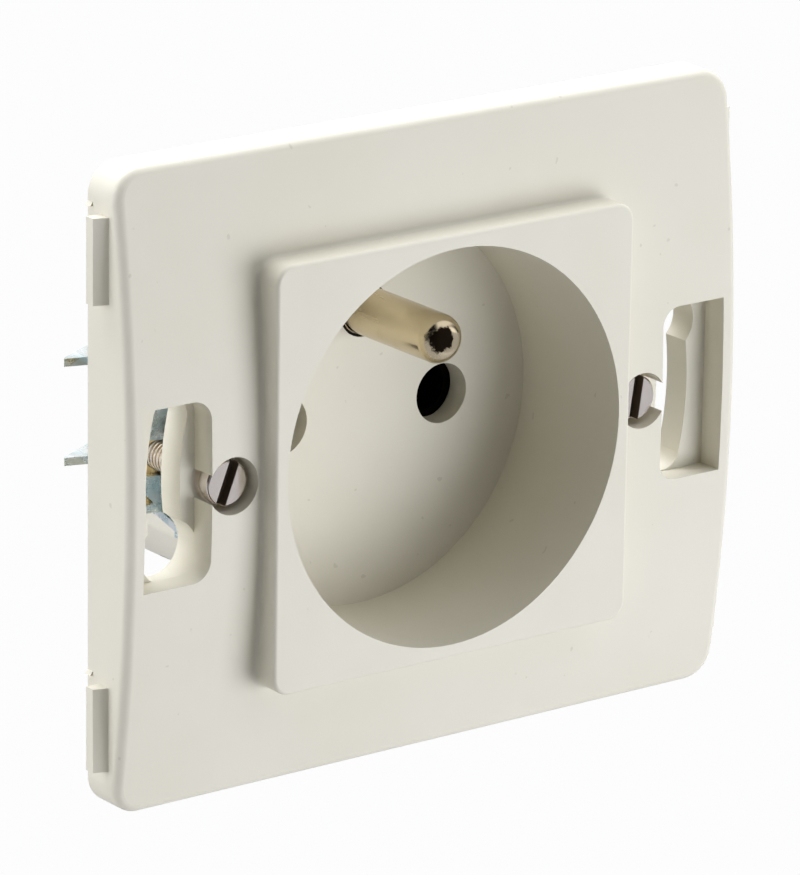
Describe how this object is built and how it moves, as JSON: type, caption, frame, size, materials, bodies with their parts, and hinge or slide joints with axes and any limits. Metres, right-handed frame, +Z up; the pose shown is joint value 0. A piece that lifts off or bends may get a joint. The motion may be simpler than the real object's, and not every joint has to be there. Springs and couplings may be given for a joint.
{
  "type": "wall socket",
  "caption": "Flush wall socket mechanism with arched plate, round plug well, raised earth pin, keyhole fixing slots and screw-driven box claws.",
  "frame": {"origin": "centre of the plate's back face, on the wall plane, midway between the two box screws", "axes": "+X right along the long side, +Z up, +Y into the wall; the front faces -Y"},
  "size_m": [0.0742, 0.0377, 0.062],
  "materials": {
    "white_plastic": "fine satin, slightly warm white",
    "housing_plastic": "matt warm white",
    "nickel_plate": "warm nickel plate on brass",
    "nickel_screw": "bright nickel plate",
    "zinc_steel": "clear zinc plate",
    "zinc_sheet": "clear zinc plate, bluish",
    "spring_steel": "bare spring steel",
    "brass": "bare stamped brass"
  },
  "bodies": {
    "socket": {"faceplate": "white_plastic", "contact_carrier": "white_plastic", "rear_housing": "housing_plastic", "rear_cover": "housing_plastic", "earth_pin": "nickel_plate", "earth_strap": "brass", "housing_screws": "zinc_steel", "cover_screws": "zinc_steel", "contact_left": "brass", "contact_clip_left": "spring_steel", "terminal_left": "brass", "terminal_screw_left": "zinc_steel", "claw_bracket_left": "zinc_sheet", "claw_rivets_left": "zinc_steel", "contact_right": "brass", "contact_clip_right": "spring_steel", "terminal_right": "brass", "terminal_screw_right": "zinc_steel", "claw_bracket_right": "zinc_sheet", "claw_rivets_right": "zinc_steel", "terminal_earth": "brass", "terminal_screw_earth": "zinc_steel"},
    "left_claw": {"claw_left": "zinc_sheet"},
    "left_nut": {"claw_nut_left": "brass"},
    "left_screw": {"claw_screw_left": "nickel_screw"},
    "right_claw": {"claw_right": "zinc_sheet"},
    "right_nut": {"claw_nut_right": "brass"},
    "right_screw": {"claw_screw_right": "nickel_screw"}
  },
  "joints": [
    {"name": "left_claw_swing", "type": "hinge", "parent": "socket", "child": "left_claw", "pos_m": [-0.0219, 0.00645, 0], "axis": [0, 0, 1], "range_deg": [0, 30]},
    {"name": "left_nut_travel", "type": "slide", "parent": "socket", "child": "left_nut", "axis": [0, -1, 0], "range_m": [0, 0.00118]},
    {"name": "left_screw_turn", "type": "hinge", "parent": "socket", "child": "left_screw", "pos_m": [-0.0241, 0, 0], "axis": [0, 1, 0], "range_deg": [0, 848.9]},
    {"name": "right_claw_swing", "type": "hinge", "parent": "socket", "child": "right_claw", "pos_m": [0.0219, 0.00645, 0], "axis": [0, 0, -1], "range_deg": [0, 30]},
    {"name": "right_nut_travel", "type": "slide", "parent": "socket", "child": "right_nut", "axis": [0, -1, 0], "range_m": [0, 0.00118]},
    {"name": "right_screw_turn", "type": "hinge", "parent": "socket", "child": "right_screw", "pos_m": [0.0241, 0, 0], "axis": [0, 1, 0], "range_deg": [0, 848.9]}
  ],
  "couplings": [
    {"joint": "left_nut_travel", "follows": "left_claw_swing", "m_per_rad": 0.0022517},
    {"joint": "left_screw_turn", "follows": "left_claw_swing", "ratio": 28.293},
    {"joint": "right_nut_travel", "follows": "right_claw_swing", "m_per_rad": 0.0022517},
    {"joint": "right_screw_turn", "follows": "right_claw_swing", "ratio": 28.293}
  ]
}
